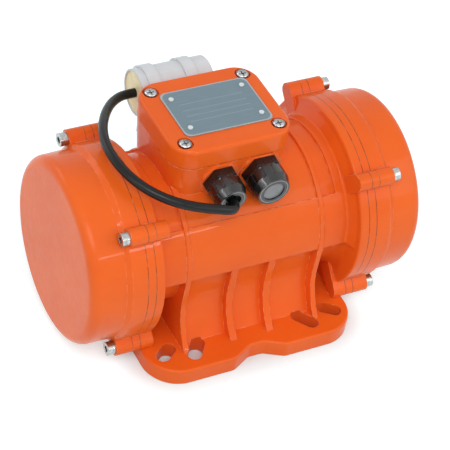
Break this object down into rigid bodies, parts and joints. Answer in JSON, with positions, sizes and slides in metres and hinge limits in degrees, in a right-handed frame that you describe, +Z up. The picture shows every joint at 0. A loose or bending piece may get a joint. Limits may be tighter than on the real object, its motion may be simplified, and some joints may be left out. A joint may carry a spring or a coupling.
{
  "type": "vibration motor",
  "caption": "Foot-mounted electric vibration motor with ribbed cast housing, round end covers, terminal box with cable glands, side capacitor and adjustable eccentric weights.",
  "frame": {"origin": "centre of the underside of the foot plate", "axes": "+X along the shaft towards the right cover, +Y towards the capacitor side, -Y towards the cable glands, +Z up from the feet to the terminal box lid"},
  "size_m": [0.227, 0.1535, 0.1446],
  "materials": {
    "orange_paint": "gloss paint",
    "zinc_steel": "zinc plated",
    "black_rubber": "plain",
    "bearing_steel": "ground",
    "weight_steel": "machined",
    "core_steel": "laminated",
    "aluminium": "cast",
    "winding": "enamelled winding",
    "plate_metal": "brushed",
    "block_plastic": "moulded",
    "brass": "plain",
    "black_nylon": "moulded",
    "disc_plastic": "moulded",
    "capacitor_plastic": "moulded",
    "resin": "cast resin",
    "clip_metal": "white",
    "cable_sheath": "plain"
  },
  "bodies": {
    "stator": {"housing": "orange_paint", "left_bearing_shield": "orange_paint", "right_bearing_shield": "orange_paint", "left_cover": "orange_paint", "right_cover": "orange_paint", "terminal_box_lid": "orange_paint", "left_cover_screws": "zinc_steel", "right_cover_screws": "zinc_steel", "lid_screws": "zinc_steel", "clip_screws": "zinc_steel", "left_cover_seal": "black_rubber", "right_cover_seal": "black_rubber", "left_shaft_seal": "black_rubber", "right_shaft_seal": "black_rubber", "lid_gasket": "black_rubber", "cable_gland_seal": "black_rubber", "left_bearing_outer_ring": "bearing_steel", "right_bearing_outer_ring": "bearing_steel", "left_bearing_balls_and_cage": "bearing_steel", "right_bearing_balls_and_cage": "bearing_steel", "stator_core": "core_steel", "stator_windings": "winding", "nameplate": "plate_metal", "nameplate_rivets": "plate_metal", "terminal_block": "block_plastic", "terminal_studs": "brass", "earth_screw": "brass", "cable_gland_body": "black_nylon", "cable_gland_cap": "black_nylon", "blank_gland_body": "black_nylon", "blank_gland_cap": "black_nylon", "gland_blanking_disc": "disc_plastic", "capacitor_can": "capacitor_plastic", "capacitor_resin_end": "resin", "capacitor_clips": "clip_metal", "capacitor_cable": "cable_sheath"},
    "rotor": {"shaft": "weight_steel", "rotor_core": "core_steel", "rotor_end_rings": "aluminium", "left_bearing_inner_ring": "bearing_steel", "left_fixed_weight": "weight_steel", "left_graduated_disc": "weight_steel", "left_snap_ring": "weight_steel", "right_bearing_inner_ring": "bearing_steel", "right_fixed_weight": "weight_steel", "right_graduated_disc": "weight_steel", "right_snap_ring": "weight_steel"},
    "left_weight": {"left_adjustable_weight": "weight_steel", "left_weight_clamp_screw": "zinc_steel"},
    "right_weight": {"right_adjustable_weight": "weight_steel", "right_weight_clamp_screw": "zinc_steel"}
  },
  "joints": [
    {"name": "shaft_spin", "type": "hinge", "parent": "stator", "child": "rotor", "pos_m": [0, 0, 0.062], "axis": [1, 0, 0], "continuous": true},
    {"name": "left_weight_setting", "type": "hinge", "parent": "rotor", "child": "left_weight", "pos_m": [-0.0968, 0, 0.062], "axis": [1, 0, 0], "range_deg": [0, 180]},
    {"name": "right_weight_setting", "type": "hinge", "parent": "rotor", "child": "right_weight", "pos_m": [0.0968, 0, 0.062], "axis": [1, 0, 0], "range_deg": [0, 180]}
  ]
}
